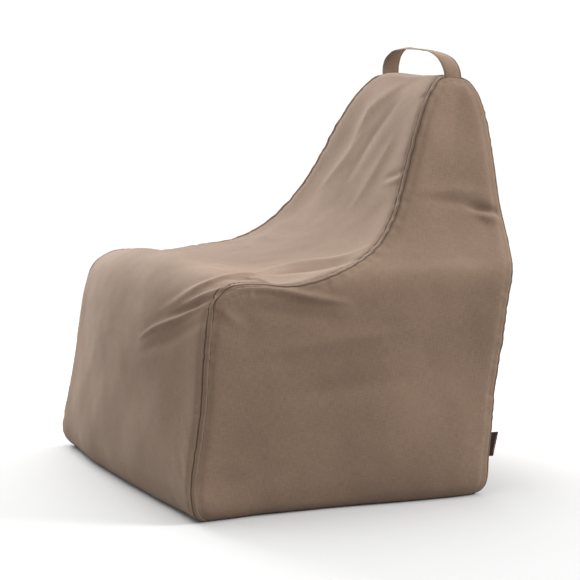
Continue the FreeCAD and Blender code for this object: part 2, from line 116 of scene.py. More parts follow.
def smooth_line(points, step):
    """Points at an even step along a Catmull-Rom curve through the given points."""
    given = np.array(points, float)
    padded = np.vstack([2 * given[0] - given[1], given, 2 * given[-1] - given[-2]])
    dense = []
    for i in range(1, len(padded) - 2):
        p = padded[i - 1:i + 3]
        gaps = np.linalg.norm(np.diff(p, axis=0), axis=1) ** 0.5
        t = np.concatenate([[0], np.cumsum(gaps)])
        u = np.linspace(t[1], t[2], 24, endpoint=i == len(padded) - 3)[:, None]
        a = [(t[k + 1] - u) / gaps[k] * p[k] + (u - t[k]) / gaps[k] * p[k + 1] for k in range(3)]
        b = [((t[k + 2] - u) * a[k] + (u - t[k]) * a[k + 1]) / (t[k + 2] - t[k]) for k in range(2)]
        dense.append(((t[2] - u) * b[0] + (u - t[1]) * b[1]) / gaps[1])
    dense = np.vstack(dense)
    along = np.concatenate([[0], np.cumsum(np.linalg.norm(np.diff(dense, axis=0), axis=1))])
    count = max(1, round(along[-1] / step))
    even = np.linspace(0, along[-1], count + 1)
    return np.stack([np.interp(even, along, column) for column in dense.T], axis=1)


def straight_line(a, b, step):
    """Points at an even step from a to b."""
    a, b = np.array(a, float), np.array(b, float)
    count = max(1, round(np.linalg.norm(b - a) / step))
    return a + (b - a) * np.linspace(0, 1, count + 1)[:, None]


def arc_lengths(points):
    return np.concatenate([[0], np.cumsum(np.linalg.norm(np.diff(points, axis=0), axis=1))])


width_line = smooth_line(HALF_WIDTH, 2 * MM)
width_along = arc_lengths(width_line)


def half_width(z):
    return np.interp(z, width_line[:, 1], width_line[:, 0])


def width_rise(z):
    """The distance up a side panel's curve at a height."""
    return np.interp(z, width_line[:, 1], width_along)


# The rear panel's flat lower part, shared with the CAD's zips: a plane that leans back.
REAR_FOOT_Y = 0.272
LEAN = math.atan2(0.122, 0.580)
REAR_N = np.array([0, math.cos(LEAN), -math.sin(LEAN)])
REAR_W = np.array([0, math.sin(LEAN), math.cos(LEAN)])


def rear_axes(points):
    """(x, n, w) of points in the rear panel's own axes."""
    rel = points - np.array([0, REAR_FOOT_Y, 0])
    return np.stack([points[:, 0], rel @ REAR_N, rel @ REAR_W], axis=1)


# ---------------------------------------------------------------- sewn panels as even triangles


def hexagonal_fill(outline, step):
    """Points on an even triangular lattice inside a closed 2-D outline."""
    low, high = outline.min(axis=0), outline.max(axis=0)
    row_gap = step * math.sqrt(3) / 2
    following = np.roll(outline, -1, axis=0)
    rows = []
    for j in range(1, int((high[1] - low[1]) / row_gap) + 1):
        v = low[1] + j * row_gap
        crossing = (outline[:, 1] <= v) != (following[:, 1] <= v)
        a, b = outline[crossing], following[crossing]
        hits = np.sort(a[:, 0] + (v - a[:, 1]) / (b[:, 1] - a[:, 1]) * (b[:, 0] - a[:, 0]))
        for start, end in zip(hits[0::2], hits[1::2]):
            first = math.ceil((start - low[0]) / step - 0.5 * (j % 2))
            u = low[0] + (np.arange(first, int((end - low[0]) / step) + 2) + 0.5 * (j % 2)) * step
            u = u[(u > start) & (u < end)]
            rows.append(np.stack([u, np.full_like(u, v)], axis=1))
    inside = np.vstack(rows)
    clear_of_rim = 0.55 * step
    return inside[Near(outline).distance(inside) > clear_of_rim]


class Near:
    """The nearest of some points, 2-D or 3-D, to each of others."""

    def __init__(self, points):
        self.tree = KDTree(len(points))
        for i, p in enumerate(three_wide(points)):
            self.tree.insert(p, i)
        self.tree.balance()

    def find(self, points):
        found = [self.tree.find(p) for p in three_wide(points)]
        return np.array([f[1] for f in found]), np.array([f[2] for f in found])

    def distance(self, points):
        return self.find(points)[1]


def three_wide(points):
    if points.shape[1] == 3:
        return points.tolist()
    return np.column_stack([points, np.zeros(len(points))]).tolist()


def inside_of(outline, points):
    """Whether each 2-D point lies inside a closed outline."""
    following = np.roll(outline, -1, axis=0)
    inside = np.zeros(len(points), bool)
    for (u0, v0), (u1, v1) in zip(outline, following):
        if v0 != v1:
            level = (v0 <= points[:, 1]) != (v1 <= points[:, 1])
            at = u0 + (points[level, 1] - v0) / (v1 - v0) * (u1 - u0)
            inside[np.flatnonzero(level)[points[level, 0] < at]] ^= True
    return inside


def triangulate(outline, step):
    """Even triangles inside a closed 2-D outline, whose own points come first."""
    points = np.vstack([outline, hexagonal_fill(outline, step)])
    rim = [(i, (i + 1) % len(outline)) for i in range(len(outline))]
    made = geometry.delaunay_2d_cdt([Vector(p) for p in points], rim, [], 0, 1e-8, False)
    assert len(made[0]) == len(points)
    faces = np.array(made[2])
    return points, faces[inside_of(outline, points[faces].mean(axis=1))]


def edges_of(faces):
    pairs = np.sort(np.vstack([faces[:, [0, 1]], faces[:, [1, 2]], faces[:, [2, 0]]]), axis=1)
    return np.unique(pairs, axis=0).T


def unit(vectors):
    return vectors / np.maximum(np.linalg.norm(vectors, axis=1), 1e-12)[:, None]


def membrane(neighbours, free, load, held, most_rounds=900, settled=1e-14):
    """How far out a membrane stands under a load, held at given heights where it isn't free,
    by conjugate gradients."""
    a, b = neighbours
    count = len(load)
    degree = np.bincount(a, minlength=count) + np.bincount(b, minlength=count)

    def pull(u):
        got = degree * u - np.bincount(a, u[b], count) - np.bincount(b, u[a], count)
        return np.where(free, got, 0)

    u = np.where(free, 0, held)
    residual = np.where(free, load, 0) - pull(u)
    direction, power = residual.copy(), residual @ residual
    for _ in range(most_rounds):
        if power < settled:
            break
        moved = pull(direction)
        step = power / (direction @ moved)
        u += step * direction
        residual -= step * moved
        power, last = residual @ residual, power
        direction = residual + power / last * direction
    return u


def bump(value, centre, width):
    """A smooth hump, 1 at the centre."""
    return np.exp(-((value - centre) / width) ** 2)


def rise(value, start, end):
    """0 before start, 1 after end, smooth between."""
    t = np.clip((value - start) / (end - start), 0, 1)
    return t * t * (3 - 2 * t)


SIDE_PRESSURE = 0.42
REAR_PRESSURE = 0.25
# The stretch of the rear panel that the zips keep flat, in metres across and up its slope.
ZIP_FLAT_HALF, ZIP_FLAT_LOW, ZIP_FLAT_HIGH = 0.320, 0.120, 0.352


def centre_pressure(places):
    """How hard the filling pushes the centre panel out: the front most, the seat least."""
    y, z = places[:, 1], places[:, 2]
    on_front = rise(-y, 0.24, 0.33)
    on_back = rise(z, 0.52, 0.62)
    return 1.2 * on_front * rise(z, 0.0, 0.10) + 0.16 * on_back - 0.03 * (1 - on_front) * (1 - on_back)


# The panels that wrap round the bag between its sides.
WRAPS = ("centre_panel", "rear_panel_upper", "rear_panel_lower")
# The panels that the filling crowns, those sewn into one surface together.
CROWNED = [("centre_panel",), ("rear_panel_upper", "rear_panel_lower"), ("left_side_panel",),
           ("right_side_panel",)]


def make_bag(step, zip_rise, zip_half):
    """The bag's outer face: places, triangles, which panel each triangle is on, the panels' own
    flat patterns, and each panel's own points among the places."""
    stretches = [smooth_line(FRONT_SEAM, step), smooth_line(TOP_EDGE, step),
                 smooth_line(REAR_SEAM, step), straight_line(REAR_SEAM[-1], FRONT_SEAM[0], step)]
    path = np.vstack([stretches[0]] + [s[1:] for s in stretches[1:]])
    along = arc_lengths(path)
    corners = np.cumsum([0] + [len(s) - 1 for s in stretches])
    slope = np.gradient(path, axis=0)
    slope[[0, -1]] = slope[0] + slope[-1]
    rises = rear_axes(np.column_stack([np.zeros(len(path)), path]))[:, 2]
    rear = slice(corners[2], corners[3])
    drop = corners[2] + int(np.argmax(path[rear, 1] < BODY_HEIGHT - REAR_SEAM_DROP))
    at_zip = corners[2] + int(np.argmin(np.abs(rises[rear] - zip_rise)))
    across = {k: straight_line((-half_width(path[k, 1]), 0), (half_width(path[k, 1]), 0), step)
              for k in (0, drop, at_zip, corners[3])}
    across[len(path) - 1] = across[0]

    def strip(first, last, low_slot=False, high_slot=False):
        s, x = along[first:last + 1], half_width(path[first:last + 1, 1])
        right, left = np.stack([x, s], axis=1), np.stack([-x, s], axis=1)[::-1]
        low, high = across[first] + (0, s[0]), across[last][::-1] + (0, s[-1])
        if low_slot:
            low = slotted(low, along[first] + ZIP_SLOT_HALF, zip_half, step)
        if high_slot:
            high = slotted(high, along[last] - ZIP_SLOT_HALF, zip_half, step)
        flat, faces = triangulate(np.vstack([low[:-1], right[:-1], high[:-1], left[:-1]]), step)
        dy, dz = (np.interp(flat[:, 1], along, slope[:, k]) for k in (0, 1))
        normals = unit(np.stack([0 * dy, -dz, dy], axis=1))
        y, z = (np.interp(flat[:, 1], along, path[:, k]) for k in (0, 1))
        return flat, faces, np.stack([flat[:, 0], y, z], axis=1), normals

    def side(sign):
        outline = np.stack([path[:-1, 0], width_rise(path[:-1, 1])], axis=1)
        flat, faces = triangulate(outline, step)
        z = np.interp(flat[:, 1], width_along, width_line[:, 1])
        line_slope = np.gradient(width_line, axis=0)
        dx, dz = (np.interp(flat[:, 1], width_along, line_slope[:, k]) for k in (0, 1))
        normals = unit(np.stack([sign * dz, 0 * dx, -dx], axis=1))
        return flat, faces, np.stack([sign * half_width(z), flat[:, 0], z], axis=1), normals

    pieces = {
        "centre_panel": strip(0, drop),
        "rear_panel_upper": strip(drop, at_zip, high_slot=zip_half > 0),
        "rear_panel_lower": strip(at_zip, corners[3], low_slot=zip_half > 0),
        "base_panel": strip(corners[3], len(path) - 1),
        "right_side_panel": side(1),
        "left_side_panel": side(-1),
    }
    flats, loose_faces, places, normals = zip(*pieces.values())
    names = list(pieces)
    offsets = np.cumsum([0] + [len(f) for f in flats])
    places, normals = np.vstack(places), np.vstack(normals)
    keys = np.round(places / WELD).astype(np.int64)
    _, first, index = np.unique(keys, axis=0, return_index=True, return_inverse=True)
    index = index.ravel()
    faces = [index[f + o] for f, o in zip(loose_faces, offsets)]
    owner = np.concatenate([np.full(len(f), k) for k, f in enumerate(faces)])
    own = [index[offsets[k]:offsets[k + 1]] for k in range(len(names))]
    bag = Bag(names, flats, loose_faces, own, places[first], np.vstack(faces), owner)
    bag.crown(np.split(normals, offsets[1:-1]), step)
    return bag


def slotted(edge, depth, half, step):
    """A strip's edge, in (x, s), with the zip's slot cut back to a depth."""
    before = edge[np.abs(edge[:, 0]) > half + 0.4 * step]
    middle = len(before) // 2
    turn = math.copysign(1, edge[-1, 0])
    level = edge[0, 1]
    slot = straight_line((-turn * half, depth), (turn * half, depth), step)
    return np.vstack([before[:middle], [(-turn * half, level)], slot,
                      [(turn * half, level)], before[middle:]])


class Bag:
    """The sewn cover's outer face as one welded mesh of panels."""

    def __init__(self, names, flats, loose_faces, own, places, faces, owner):
        self.names, self.flats, self.loose_faces = names, flats, loose_faces
        self.own, self.places, self.faces, self.owner = own, places, faces, owner
        self.edges = edges_of(faces)
        self.degree = (np.bincount(self.edges[0], minlength=len(places))
                       + np.bincount(self.edges[1], minlength=len(places)))
        self.on = np.zeros((len(names), len(places)), bool)
        for k, points in enumerate(own):
            self.on[k, points] = True

    def panel(self, name):
        return self.on[self.names.index(name)]

    def crown(self, normals, step):
        """Lets the filling push the panels out between their seams."""
        out_of = np.zeros_like(self.places)
        for points, n in zip(self.own, normals):
            out_of[points] = n
        moved = np.zeros_like(self.places)
        for group in CROWNED:
            members = [self.names.index(name) for name in group]
            mine = self.on[members].any(axis=0)
            others = np.delete(self.on, members, axis=0).any(axis=0)
            points = np.flatnonzero(mine)
            local = np.zeros(len(mine), int)
            local[points] = np.arange(len(points))
            faces = local[self.faces[np.isin(self.owner, members)]]
            places, outward = self.places[points], out_of[points]
            free = ~others[points]
            held = np.zeros(len(points))
            if "centre_panel" in group:
                pressure = centre_pressure(places)
            elif "rear_panel_upper" in group:
                pressure = np.full(len(points), REAR_PRESSURE)
                x, n, w = rear_axes(places).T
                flat = (np.abs(x) < ZIP_FLAT_HALF) & (w > ZIP_FLAT_LOW) & (w < ZIP_FLAT_HIGH)
                free &= ~flat
                held[flat] = (-n / (outward @ REAR_N))[flat]
            else:
                pressure = np.full(len(points), SIDE_PRESSURE)
            out = membrane(edges_of(faces), free, pressure * 1.5 * step ** 2, held)
            moved[points] += outward * out[:, None]
        self.places = self.places + moved

    def spread(self, values, weights, rounds):
        """Smooths values over the mesh, each point by its weight."""
        a, b = self.edges
        count = len(self.places)
        for _ in range(rounds):
            total = np.stack([np.bincount(a, v[b], count) + np.bincount(b, v[a], count)
                              for v in values.T], axis=1)
            values = values + weights[:, None] * (total / self.degree[:, None] - values)
        return values

    def normals(self):
        a, b, c = (self.places[self.faces[:, k]] for k in range(3))
        area = np.cross(b - a, c - a)
        total = np.zeros_like(self.places)
        for k in range(3):
            for axis in range(3):
                total[:, axis] += np.bincount(self.faces[:, k], area[:, axis], len(total))
        return unit(total)


def turn_outward(bag):
    """Turns every triangle so that it faces out."""
    a, b, c = (bag.places[bag.faces[:, k]] for k in range(3))
    area = np.cross(b - a, c - a)
    middle = (a + b + c) / 3
    for k in range(len(bag.names)):
        mine = bag.owner == k
        heart = np.array([0, 0.05, 0.25])
        if np.sum(area[mine] * (middle[mine] - heart)) < 0:
            bag.faces[mine] = bag.faces[mine][:, ::-1]
            bag.loose_faces[k][:] = bag.loose_faces[k][:, ::-1]


# ---------------------------------------------------------------- the bag's form


def round_seams(bag, step, radius):
    """Softens the panels' meeting at the side seams, and keeps the seams where they are."""
    seams = seam_points(bag)
    near, distance = Near(bag.places[seams]).find(bag.places)
    zip_flat = held_flat(bag.places)
    weight = 0.5 * bump(distance, 0, 1.7 * radius) * (1 - zip_flat)
    rounds = int(2.2 * (radius / step) ** 2)
    soft = bag.spread(bag.places, weight, rounds)
    lost = (bag.places[seams] - soft[seams])[near]
    lost = bag.spread(lost, np.full(len(lost), 0.5), rounds // 2)
    back = bump(distance, 0, 2.2 * radius) * (1 - zip_flat)
    bag.places = soft + lost * back[:, None]


def seam_points(bag, sides=("left_side_panel", "right_side_panel")):
    """The points where side panels are sewn to the panels that wrap round the bag."""
    on_side = np.any([bag.panel(name) for name in sides], axis=0)
    on_wrap = np.any([bag.panel(name) for name in WRAPS], axis=0)
    return np.flatnonzero(on_side & on_wrap)


def held_flat(places):
    """1 around the zips, which stay as flat as they were sewn, falling to 0 round them."""
    x, _, w = rear_axes(places).T
    near = 1 - rise(np.abs(x), ZIP_FLAT_HALF, ZIP_FLAT_HALF + 0.03)
    near *= rise(w, ZIP_FLAT_LOW - 0.03, ZIP_FLAT_LOW) * (1 - rise(w, ZIP_FLAT_HIGH, ZIP_FLAT_HIGH + 0.04))
    return near * (places[:, 1] > 0.2)


SEAM_ROUNDING = 26 * MM
WIDEST_X, WIDEST_Y = 0.440, 0.405


def sag_foot(places):
    """The filling's weight spreads the foot over the floor, most at the back of each side, and
    flares the near front corner. What passes the widest lines is drawn back by a quarter."""
    x, y, z = places.T
    reach = np.clip(np.abs(x) / half_width(z), 0, 1) ** 6
    along = 0.010 + rise(y, -0.08, 0.15) * 0.017
    along *= 1 - 0.65 * rise(y, 0.19, 0.30)
    low = 0.75 + 0.25 * rise(z, 0, 0.03)
    low *= 1 - rise(z, 0.06, 0.34)
    moved = places.copy()
    flare = 0.016 * rise(-y, 0.24, 0.35) * (1 - rise(z, 0.015, 0.085)) * rise(x, 0, 0.3)
    moved[:, 0] += np.sign(x) * reach * (along * low + flare)
    ahead = np.clip(-y / 0.38, 0, 1) ** 6 * rise(x, -0.42, -0.15)
    moved[:, 1] -= 0.012 * ahead * (0.85 + 0.15 * rise(z, 0, 0.03)) * (1 - rise(z, 0.05, 0.25))
    for axis, widest in ((0, WIDEST_X), (1, WIDEST_Y)):
        moved[:, axis] -= 0.25 * (moved[:, axis] - np.clip(moved[:, axis], -widest, widest))
    return moved


def settle_left(places):
    """The seat has settled a little lower towards its left side."""
    x, y, z = places.T
    moved = places.copy()
    moved[:, 2] -= 0.014 * bump(y, 0.02, 0.09) * rise(-x, 0.10, 0.35) * rise(z, 0.36, 0.44)
    return moved


def formed_bag(step, zip_rise, zip_half):
    made = make_bag(step, zip_rise, zip_half)
    turn_outward(made)
    round_seams(made, step, SEAM_ROUNDING)
    made.places = settle_left(sag_foot(made.places))
    made.places[:, 2] = np.maximum(made.places[:, 2], 0)
    made.places[made.panel("base_panel"), 2] = 0
    return made


bag = formed_bag(MESH_STEP, ZIP_RISE, ZIP_HALF)


# ---------------------------------------------------------------- folds

rng = np.random.default_rng(7)

# Each fold: height and half width in mm (a groove's height is negative), then its line in mm.
FOLDS = [
    # From the near front corner of the seat down over the front.
    (7, 5, [(262, -367, 412), (335, -346, 440), (378, -306, 464), (384, -262, 470)]),
    (8, 5, [(120, -405, 333), (200, -392, 368), (290, -371, 396), (352, -352, 424), (388, -325, 447)]),
    (-7.5, 7, [(235, -378, 392), (335, -352, 427), (378, -334, 447), (388, -300, 464)]),
    (-5, 12, [(120, -398, 300), (230, -388, 340), (330, -372, 380), (388, -350, 400)]),
    (7, 9, [(190, -380, 395), (260, -360, 428), (298, -339, 452), (316, -311, 468), (312, -279, 476),
             (270, -225, 478), (215, -160, 476)]),
    (-4, 9, [(330, -300, 468), (330, -255, 474), (300, -200, 475)]),
    (6, 6, [(292, -240, 476), (318, -210, 473), (350, -196, 470)]),
    (-5, 8, [(350, -250, 470), (352, -215, 468), (362, -180, 466)]),
    # Across the seat.
    (5, 16, [(215, -160, 476), (190, -120, 474), (205, -60, 488), (270, 0, 505), (300, 60, 535)]),
    (-8, 22, [(250, -150, 474), (262, -90, 478), (310, -20, 495), (345, 20, 512)]),
    (5, 12, [(-310, 0, 492), (-240, 8, 500), (-165, 10, 506), (-60, 5, 506)]),
    (-4, 12, [(-310, -25, 486), (-200, -20, 492), (-80, -25, 492)]),
    (4, 16, [(-300, 60, 540), (-180, 70, 545), (-40, 60, 545)]),
    (4, 20, [(67, -299, 486), (-50, -180, 475), (-131, -127, 473)]),
    # Over the backrest.
    (5, 22, [(-82, 190, 712), (-68, 234, 805), (30, 282, 869)]),
    (4, 20, [(-145, 142, 617), (-86, 179, 689), (-46, 211, 760)]),
    (-4, 20, [(-30, 150, 640), (0, 200, 740), (60, 260, 840)]),
    (3.5, 20, [(60, 120, 580), (90, 165, 670), (110, 215, 760)]),
    (-4, 8, [(150, 168, 663), (205, 171, 673), (240, 183, 681)]),
    (3, 8, [(150, 160, 648), (205, 163, 658), (245, 176, 668)]),
    (-4, 7, [(150, 246, 845), (170, 256, 842), (186, 274, 845)]),
    # On the sides.
    (9, 8, [(384, -290, 470), (389, -240, 466), (392, -195, 459), (397, -125, 441), (399, -35, 424)]),
    (-4, 16, [(396, -250, 425), (402, -180, 410), (404, -100, 398), (404, -30, 390)]),
    (4, 14, [(255, 165, 640), (262, 230, 640), (262, 300, 640), (262, 360, 632)]),
    (-5, 12, [(258, 200, 618), (268, 260, 620), (274, 320, 612), (276, 360, 606)]),
    (-10, 9, [(272, 300, 607), (284, 345, 600), (288, 385, 592)]),
    (7, 10, [(283, 320, 588), (294, 350, 580), (298, 382, 574)]),
    (-3, 12, [(385, 300, 430), (372, 330, 450), (355, 352, 465)]),
    (4, 16, [(405, -250, 330), (408, -100, 345), (405, 80, 360)]),
    (-4, 18, [(415, -200, 240), (418, -40, 250), (414, 120, 262)]),
    (3, 10, [(396, -330, 430), (402, -300, 405), (408, -262, 380)]),
    # At the near front foot.
    (-5, 10, [(341, -394, 152), (392, -396, 102), (424, -391, 50)]),
    (4, 9, [(300, -402, 95), (370, -399, 60), (420, -391, 28)]),
    (-5, 9, [(273, -403, 62), (349, -400, 36), (420, -386, 12)]),
    (3, 8, [(345, -390, 205), (395, -385, 160), (424, -380, 125)]),
]


def fold_depth(places, line, half):
    """How near each place is to a fold's line, 1 on it, and thinned out towards its ends."""
    ends = np.array(line) * MM
    best = np.full(len(places), 1.0)
    at = np.zeros(len(places))
    lengths = np.linalg.norm(np.diff(ends, axis=0), axis=1)
    starts = np.concatenate([[0], np.cumsum(lengths)])
    for k, length in enumerate(lengths):
        way = (ends[k + 1] - ends[k]) / length
        t = np.clip((places - ends[k]) @ way, 0, length)
        gap = np.linalg.norm(places - ends[k] - t[:, None] * way, axis=1)
        closer = gap < best
        best[closer] = gap[closer]
        at[closer] = starts[k] + t[closer]
    u = at / starts[-1]
    taper = np.sin(np.pi * (0.03 + 0.94 * u))
    width = half * MM * (0.7 + 0.6 * taper)
    crest = 0.5 * np.exp(-best / (0.7 * width)) + 0.75 * bump(best, 0, width)
    return taper * (crest - 0.25 * bump(best, 0, 2.4 * width))


def wander(places, wave, turns=9):
    """A smooth, seeded, random undulation of about unit height."""
    total = np.zeros(len(places))
    for _ in range(turns):
        way = rng.normal(size=3)
        way /= np.linalg.norm(way)
        total += np.sin(places @ way * (2 * math.pi / (wave * rng.uniform(0.7, 1.4)))
                        + rng.uniform(0, 2 * math.pi))
    return total / math.sqrt(turns / 2)


def crease(bag):
    """Lays the folds, the seams' puckers and the filling's unevenness into the cover."""
    places, normals = bag.places, bag.normals()
    loose = 1 - held_flat(places)
    seams = seam_points(bag)
    near, distance = Near(places[seams]).find(places)
    steady = rise(places[:, 2], 0.0, 0.03)
    off_seam = 0.35 + 0.65 * rise(distance, 0, 14 * MM)
    out = np.zeros(len(places))
    for height, half, line in FOLDS:
        out += height * MM * fold_depth(places, line, half)
    out *= off_seam
    # The filling's unevenness: broad, then fine, and less beside the seams.
    out += 1.3 * MM * wander(places, 0.22) * rise(distance, 0, 60 * MM)
    out += 0.2 * MM * wander(places, 0.075) * rise(distance, 0, 30 * MM)
    # The puckers run across the seam, so they keep the phase of the seam's nearest point.
    phase = wander(places[seams], 0.022, 14)[near]
    strength = 0.5 + 0.5 * np.clip(wander(places, 0.25), -1, 1)
    out += 0.9 * MM * phase * strength * bump(distance, 6 * MM, 16 * MM)
    # The valley that the felled seam's far row of stitches pulls.
    out -= 2.0 * MM * bump(distance, 13.5 * MM, 6 * MM)
    bag.places = places + normals * (out * loose * steady)[:, None]
    bag.places[:, 2] = np.maximum(bag.places[:, 2], 0)


crease(bag)


# ---------------------------------------------------------------- materials


def paint(colour):
    """An sRGB hex colour as linear RGBA."""
    parts = [int(colour[i:i + 2], 16) / 255 for i in (1, 3, 5)]
    return [c / 12.92 if c <= 0.04045 else ((c + 0.055) / 1.055) ** 2.4 for c in parts] + [1]


def node(tree, kind, links=(), **settings):
    """Adds a node, with its inputs linked or set by name or number, and its settings."""
    made = tree.nodes.new(kind)
    for name, value in settings.items():
        setattr(made, name, value)
    for socket, value in dict(links).items():
        target = made.inputs[socket]
        if isinstance(value, bpy.types.NodeSocket):
            tree.links.new(value, target)
        else:
            target.default_value = value
    return made


def fresh(name):
    material = bpy.data.materials.new(name)
    material.use_nodes = True
    material.node_tree.nodes.clear()
    return material, material.node_tree


def finish_material(tree, surface):
    node(tree, "ShaderNodeOutputMaterial", {"Surface": surface.outputs["BSDF"]})


UNEVEN_PER_METRE = 140         # patches of handling and moulding about 7 mm across


def plain(name, colour, roughness):
    """A finish with a faint unevenness of its roughness."""
    material, tree = fresh(name)
    where = node(tree, "ShaderNodeTexCoord")
    uneven = node(tree, "ShaderNodeTexNoise", {"Vector": where.outputs["Object"],
                                                "Scale": UNEVEN_PER_METRE})
    rough = node(tree, "ShaderNodeMapRange", {"Value": uneven.outputs["Fac"], "To Min": roughness - 0.06,
                                              "To Max": roughness + 0.06})
    finish_material(tree, node(tree, "ShaderNodeBsdfPrincipled", {
        "Base Color": paint(colour), "Roughness": rough.outputs["Result"]}))
    return material


# Per metre: a slub in the yarn is about 17 mm long and 1.1 mm across, and the cloth's shade
# drifts over about 200 mm.
SLUBS_ALONG, SLUBS_ACROSS = 60, 900
DRIFTS = 5


def woven(name, colour, shade, thread, relief, sheen=0.16):
    """A plain weave in the UV's own metres, its threads the given width. Each thread's thickness
    and shade wander along it, as spun yarn's do."""
    material, tree = fresh(name)
    flat = node(tree, "ShaderNodeUVMap", uv_map="flat")
    where = node(tree, "ShaderNodeTexCoord")
    threads, slubs = [], []
    for direction, stretch in (("X", (SLUBS_ALONG, SLUBS_ACROSS, 1)), ("Y", (SLUBS_ACROSS, SLUBS_ALONG, 1))):
        threads.append(node(tree, "ShaderNodeTexWave", {
            "Vector": flat.outputs["UV"], "Scale": 1 / (2 * math.pi * thread), "Distortion": 1.2,
            "Detail": 1.0, "Detail Scale": 0.4}, wave_type="BANDS", bands_direction=direction))
        at = node(tree, "ShaderNodeMapping", {"Vector": flat.outputs["UV"], "Scale": stretch})
        slubs.append(node(tree, "ShaderNodeTexNoise", {"Vector": at.outputs["Vector"], "Scale": 1.0,
                                                       "Detail": 2.0}))
    both, slub = (node(tree, "ShaderNodeMath", {0: pair[0].outputs["Fac"], 1: pair[1].outputs["Fac"]},
                       operation="ADD") for pair in (threads, slubs))
    broad = node(tree, "ShaderNodeTexNoise", {"Vector": where.outputs["Object"], "Scale": DRIFTS,
                                              "Detail": 3.0})
    tone = node(tree, "ShaderNodeMath", {0: slub.outputs["Value"], 1: broad.outputs["Fac"]}, operation="ADD")
    share = node(tree, "ShaderNodeMapRange", {"Value": tone.outputs["Value"], "From Min": 1.1,
                                              "From Max": 1.9})
    colours = node(tree, "ShaderNodeMix", {"Factor": share.outputs["Result"], "A": paint(shade),
                                           "B": paint(colour)}, data_type="RGBA")
    height = node(tree, "ShaderNodeMath", {0: both.outputs["Value"], 1: slub.outputs["Value"]},
                  operation="ADD")
    lift = node(tree, "ShaderNodeBump", {"Height": height.outputs["Value"], "Distance": relief,
                                         "Strength": 1.0})
    finish_material(tree, node(tree, "ShaderNodeBsdfPrincipled", {
        "Base Color": colours.outputs["Result"], "Roughness": 0.88, "Normal": lift.outputs["Normal"],
        "Specular IOR Level": 0.25, "Sheen Weight": sheen, "Sheen Roughness": 0.45,
        "Sheen Tint": paint("#E8D3BE")}))
    return material


# Polyester canvas, piece-dyed and woven plain: matt, with a pale bloom at grazing angles. Its
# thread is drawn at 0.9 mm, coarser than real, so that it shows.
COVER_CLOTH = woven("taupe_woven_polyester", "#746051", "#604E40", 0.9 * MM, 0.10 * MM)
STRAP_CLOTH = woven("taupe_woven_strap", "#746051", "#604E40", 0.9 * MM, 0.10 * MM)
# Spun polyester thread: a shade darker than the cloth. The needle holes beside it are near-black spots of
# painted shadow.
THREAD = plain("taupe_sewing_thread", "#54463B", 0.7)
HOLE_SHADE = plain("needle_hole_shadow", "#1C1612", 0.95)
# Spunbonded polypropylene: flat white, faintly embossed.
LINER_CLOTH = woven("white_nonwoven_liner", "#D9D6CE", "#CCC8BF", 1.4 * MM, 0.06 * MM)
# Woven polyester tape, closer and flatter than the cover's cloth.
ZIP_TAPE = woven("taupe_zip_tape", "#6B5C51", "#5F5148", 0.8 * MM, 0.12 * MM)
LINER_TAPE = woven("white_zip_tape", "#D4D1C9", "#C6C2B9", 0.8 * MM, 0.12 * MM)
# Drawn nylon: smooth, with a soft shine.
COIL = plain("taupe_nylon_coil", "#66584E", 0.4)
LINER_COIL = plain("white_nylon_coil", "#D8D6D0", 0.4)
# Die-cast zinc under baked enamel: an even, satin coat.
ZIP_METAL = plain("enamelled_zinc", "#5F5249", 0.38)
# Damask-woven polyester: fine and almost black, with one band of rust-coloured thread.
LABEL_CLOTH = woven("dark_brown_woven_label", "#281A15", "#221612", 0.5 * MM, 0.06 * MM, sheen=0.05)
LABEL_BAND = plain("rust_label_thread", "#7E4226", 0.75)
# Foamed polystyrene: white and matt.
BEADS = plain("expanded_polystyrene_beads", "#F2F1EC", 0.6)

# ---------------------------------------------------------------- pieces


def piece(name, places, faces, material, uv=None, smooth=True):
    """A mesh object from places in metres, with each corner's flat pattern place as its UV."""
    mesh = bpy.data.meshes.new(name)
    faces = np.asarray(faces)
    mesh.vertices.add(len(places))
    mesh.vertices.foreach_set("co", np.asarray(places, np.float32).ravel())
    sides = faces.shape[1]
    mesh.loops.add(faces.size)
    mesh.loops.foreach_set("vertex_index", faces.ravel().astype(np.int32))
    mesh.polygons.add(len(faces))
    mesh.polygons.foreach_set("loop_start", np.arange(0, faces.size, sides, dtype=np.int32))
    mesh.update(calc_edges=True)
    if uv is not None:
        layer = mesh.uv_layers.new(name="flat")
        layer.data.foreach_set("uv", np.asarray(uv, np.float32)[faces.ravel()].ravel())
    if smooth:
        mesh.shade_smooth()
    mesh.materials.append(material)
    obj = bpy.data.objects.new(name, mesh)
    bpy.context.collection.objects.link(obj)
    return obj


def joined(parts):
    """Several (places, faces, uv) as one."""
    offset, places, faces, uvs = 0, [], [], []
    for p, f, uv in parts:
        places.append(p)
        faces.append(np.asarray(f) + offset)
        uvs.append(uv)
        offset += len(p)
    return np.vstack(places), np.vstack(faces), np.vstack(uvs)


def shell(places, inner, faces, uv):
    """A sheet with thickness: the outer face, the inner one and the cut edge between them."""
    count = len(places)
    pairs = np.vstack([faces[:, [0, 1]], faces[:, [1, 2]], faces[:, [2, 0]]])
    key = np.minimum(pairs[:, 0], pairs[:, 1]) * count + np.maximum(pairs[:, 0], pairs[:, 1])
    _, at, times = np.unique(key, return_index=True, return_counts=True)
    rim = pairs[at[times == 1]]
    a, b = rim.T
    walls = np.vstack([np.stack([b, a, a + count], axis=1), np.stack([b, a + count, b + count], axis=1)])
    return np.vstack([places, inner]), np.vstack([faces, faces[:, ::-1] + count, walls]), np.vstack([uv, uv])


surface = BVHTree.FromPolygons(bag.places.tolist(), bag.faces.tolist())
bag_normals = bag.normals()
bag_near = Near(bag.places)
OFF_FLOOR = 0.2 * MM


